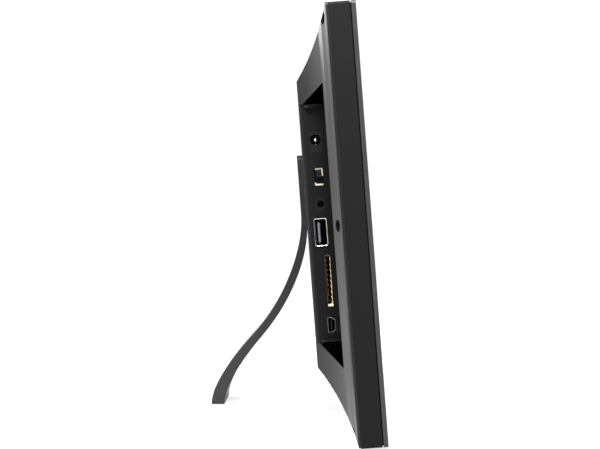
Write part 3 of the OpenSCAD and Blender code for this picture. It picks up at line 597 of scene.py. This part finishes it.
def keyCaps():
    for name in keyNames:
        low, high = leanBox(name)
        size = (high - low) / mm
        out, back = -high.x / mm - wallX, -low.x / mm - wallX
        height, length = size.y - 2 * keyCap["flange"], size.z - 2 * keyCap["flange"]
        edge, step = keyCap["edge"], back - keyCap["flangeDepth"]
        foot = roundRect(size.y, size.z, keyCap["flangeCorner"])
        flat = roundRect(height, length, keyCap["corner"])
        rings = [(back, foot), (step, foot), (step - 0.02, flat), (out + edge + 0.1, flat)]
        for k in range(1, keyCap["edgeSteps"] + 1):
            turn = math.radians(90 * k / keyCap["edgeSteps"])
            inset = edge * (1 - math.cos(turn))
            rings.append((out + keyCap["dome"] * 0.5 + edge * (1 - math.sin(turn)),
                          roundRect(height - 2 * inset, length - 2 * inset, keyCap["corner"] - 0.3 * inset)))
        rings.append((out + 0.02, roundRect(height * 0.5, length * 0.6, 0.6)))
        rings.append((out, roundRect(height * 0.2, length * 0.3, 0.3)))
        shape = bmesh.new()
        loft(shape, rings, middle(name))
        makePiece(name + "_cap", shape, "keys", body=name, stands=[name], side=-1)


# Cover screws: a round head with a cross recess, down in a cup washer and sleeve in painted-shade black
coverScrew = {"head": 2.6, "headHeight": 1.8, "shank": 1.25, "tip": 0.4, "sides": 48, "arm": 1.35,
              "armHalf": 0.26, "hub": 0.45, "crossDepth": 0.9, "shadeCup": 2.97, "shadeCupHeight": 0.9,
              "sleeve": 2.99, "sleeveInner": 2.9, "sleeveUnder": 0.08, "castFrom": 60}


# moves points made with their depth first to stand across the housing, round a point of its rear face
def standAcross(shape, start, x, z):
    shape.verts.ensure_lookup_table()
    for vert in shape.verts[start:]:
        depth, a, b = vert.co
        vert.co = Vector((x + a - wallX, depth, z + b))


# a circle of radius 1 and the outline of the cross recess, with as many points, turned by some angle
def screwOutlines(spin):
    ring, cross = [], []
    for k in range(coverScrew["sides"]):
        turn = 2 * math.pi * k / coverScrew["sides"]
        near, far = sorted((abs(math.cos(turn)), abs(math.sin(turn))))
        arm = coverScrew["arm"] if near < coverScrew["armHalf"] else coverScrew["hub"] / far
        ring.append((math.cos(turn + spin), math.sin(turn + spin)))
        cross.append((arm * ring[-1][0], arm * ring[-1][1]))
    return ring, cross


# depth of the rear cover's outer face at a point of the housing, in mm
def coverFace(x, z):
    start = housing @ (Vector((x, coverScrew["castFrom"], z)) * mm)
    place = nodes["rear_cover"].ray_cast(start, housing.to_3x3() @ Vector((0, -1, 0)))[1]
    return (toHousing @ place).y / mm


# a thin sleeve of painted shade lines a screw's hole as far as the cover's slanting face
def holeShadeSleeve(shadeCups, ring, x, z, bottom):
    outer, inner = coverScrew["sleeve"], coverScrew["sleeveInner"]
    rows = [[], [], [], []]
    for a, b in ring:
        face = coverFace(x + 3.1 * a, z + 3.1 * b) - coverScrew["sleeveUnder"]
        for row, size, depth in zip(rows, (outer, outer, inner, inner), (bottom, face, face, bottom)):
            row.append(shadeCups.verts.new((x + size * a - wallX, min(depth, face), z + size * b)))
    skin(shadeCups, rows + rows[:1])


def coverScrews():
    low, high = (corner / mm for corner in leanBox("cover_screws"))
    r, shank = coverScrew["head"], coverScrew["shank"]
    inset, top = r + 0.1, high.y
    under = top - coverScrew["headHeight"]
    screws, shadeCups = bmesh.new(), bmesh.new()
    # three across and three up, less the middle one
    places = [(x, z) for x in (low.x + inset, (low.x + high.x) / 2, high.x - inset)
              for z in (low.z + inset, (low.z + high.z) / 2, high.z - inset)]
    for x, z in places[:4] + places[5:]:
        ring, cross = screwOutlines(math.radians(23 * (x + 2 * z)))
        start = len(screws.verts)
        loft(screws, [(low.y, scaled(ring, coverScrew["tip"])), (low.y + 1, scaled(ring, shank)),
                      (under, scaled(ring, shank)), (under, scaled(ring, r)), (top - 0.5, scaled(ring, r)),
                      (top - 0.15, scaled(ring, r * 0.9)), (top - 0.02, scaled(ring, r * 0.66)), (top, cross),
                      (top - coverScrew["crossDepth"], scaled(cross, 0.7))])
        standAcross(screws, start, x, z)
        start = len(shadeCups.verts)
        band(shadeCups, [(under + 0.05, scaled(ring, r + 0.05)), (top + 0.35, scaled(ring, r + 0.1)),
                    (top + coverScrew["shadeCupHeight"], scaled(ring, coverScrew["shadeCup"])),
                    (under + 0.05, scaled(ring, coverScrew["shadeCup"]))])
        standAcross(shadeCups, start, x, z)
        holeShadeSleeve(shadeCups, ring, x, z, top - 0.5)
    makePiece("cover_screws_cross", screws, "blackScrews", stands=["cover_screws"])
    makePiece("cover_screw_shade_cups", shadeCups, "shade")


# Strip of painted shade at the bottom of the groove between the bezel and the middle band
grooveShade = {"inset": 0.8, "width": 1.5, "outerCorner": 0.8, "innerCorner": 0.3, "play": 0.01}


def grooveShadeStrip():
    low, high = (corner / mm for corner in leanBox("mid_frame"))
    front, back = leanBox("lcd_panel")[0].y / mm + grooveShade["play"], low.y - grooveShade["play"]
    width, height = high.x - low.x - 2 * grooveShade["inset"], high.z - low.z - 2 * grooveShade["inset"]
    outer = roundRect(width, height, grooveShade["outerCorner"])
    inner = roundRect(width - 2 * grooveShade["width"], height - 2 * grooveShade["width"], grooveShade["innerCorner"])
    ring = bmesh.new()
    band(ring, [(front, outer), (back, outer), (back, inner), (front, inner)])
    standAcross(ring, 0, 0, (low.z + high.z) / 2)
    makePiece("groove_shade_strip", ring, "shade")


coverScrews()
grooveShadeStrip()
usbSocket()
miniSocket()
cardSlot()
powerSwitch()
powerSocket()
keyCaps()
print("sockets and keys ready")

# Camera level with the middle of the side, a little behind the housing's heel; metres, lens in mm
view = {"distance": 0.600, "height": 0.1063, "behindHeel": 0.0194, "lens": 76.3, "sensor": 36, "shift": -0.03,
        "clipStart": 0.01}


def placeCamera():
    cameraData = bpy.data.cameras.new("camera")
    cameraData.lens = view["lens"]
    cameraData.sensor_width = view["sensor"]
    cameraData.shift_x = view["shift"]
    cameraData.clip_start = view["clipStart"]
    camera = bpy.data.objects.new("camera", cameraData)
    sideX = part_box("mid_frame")[0].x
    camera.location = (sideX - view["distance"], heel.y + view["behindHeel"], view["height"])
    camera.rotation_euler = (math.radians(90), 0, math.radians(-90))
    bpy.context.scene.collection.objects.link(camera)
    bpy.context.scene.camera = camera


# Studio: soft white from the far side, half as bright from the near side, and four softboxes
studio = {"ahead": 1.06, "behind": 0.42, "turnFrom": 0.1, "turnTo": 0.9}
softboxes = {
    "overhead softbox": {"at": (-0.56, -0.05, 0.62), "towards": (-0.17, 0, 0.2), "side": 0.25, "watts": 8},
    "rear softbox": {"at": (-0.5, 0.8, 0.8), "towards": (-0.1, 0, 0.15), "side": 0.5, "watts": 2.4},
    "far softbox": {"at": (1.0, 0.75, 0.9), "towards": (-0.1, 0, 0.15), "side": 0.9, "watts": 16},
    "rim softbox": {"at": (0.3, 0.46, 0.5), "towards": (-0.16, 0, 0.2), "side": 0.3, "watts": 5},
}


def studioWorld():
    world = bpy.data.worlds.new("studio")
    world.use_nodes = True
    tree = world.node_tree
    direction = addNode(tree, "ShaderNodeTexCoord").outputs["Generated"]
    split = addNode(tree, "ShaderNodeSeparateXYZ", links={"Vector": direction})
    level = addNode(tree, "ShaderNodeMapRange",
                    {"From Min": studio["turnFrom"], "From Max": studio["turnTo"], "To Min": studio["behind"],
                     "To Max": studio["ahead"]}, {"Value": split.outputs["X"]})
    tree.links.new(level.outputs["Result"], tree.nodes["Background"].inputs["Strength"])
    tree.nodes["Background"].inputs["Color"].default_value = (1, 1, 1, 1)
    bpy.context.scene.world = world


def softbox(name, box):
    lamp = bpy.data.lights.new(name, "AREA")
    lamp.shape = "RECTANGLE"
    lamp.size = lamp.size_y = box["side"]
    lamp.energy = box["watts"]
    lampObject = bpy.data.objects.new(name, lamp)
    lampObject.location = box["at"]
    aim = Vector(box["towards"]) - Vector(box["at"])
    lampObject.rotation_euler = aim.to_track_quat("-Z", "Y").to_euler()
    bpy.context.scene.collection.objects.link(lampObject)


# Floor: a wide disc of paper on a light table, a hair below the foot
paperFloor = {"radius": 6.0, "sides": 96, "drop": 0.02, "glow": 0.79}


def layFloor():
    shape = bmesh.new()
    bmesh.ops.create_circle(shape, cap_ends=True, segments=paperFloor["sides"], radius=paperFloor["radius"])
    mesh = bpy.data.meshes.new("floor")
    shape.to_mesh(mesh)
    shape.free()
    floor = bpy.data.objects.new("floor", mesh)
    floor.location.z = -paperFloor["drop"] * mm
    bpy.context.scene.collection.objects.link(floor)
    # paper is matt, and the table under it glows evenly
    paper = surface("Matt white paper on a light table", "#a8a8a8", 0.9, specular=0.1, grain=None, tint=0.01,
                    patch=60)
    shader = paper.node_tree.nodes["Principled BSDF"]
    shader.inputs["Emission Color"].default_value = (1, 1, 1, 1)
    shader.inputs["Emission Strength"].default_value = paperFloor["glow"]
    mesh.materials.append(paper)


placeCamera()
studioWorld()
for name, box in softboxes.items():
    softbox(name, box)
bpy.context.scene.view_settings.view_transform = "Standard"
layFloor()
print("studio ready")
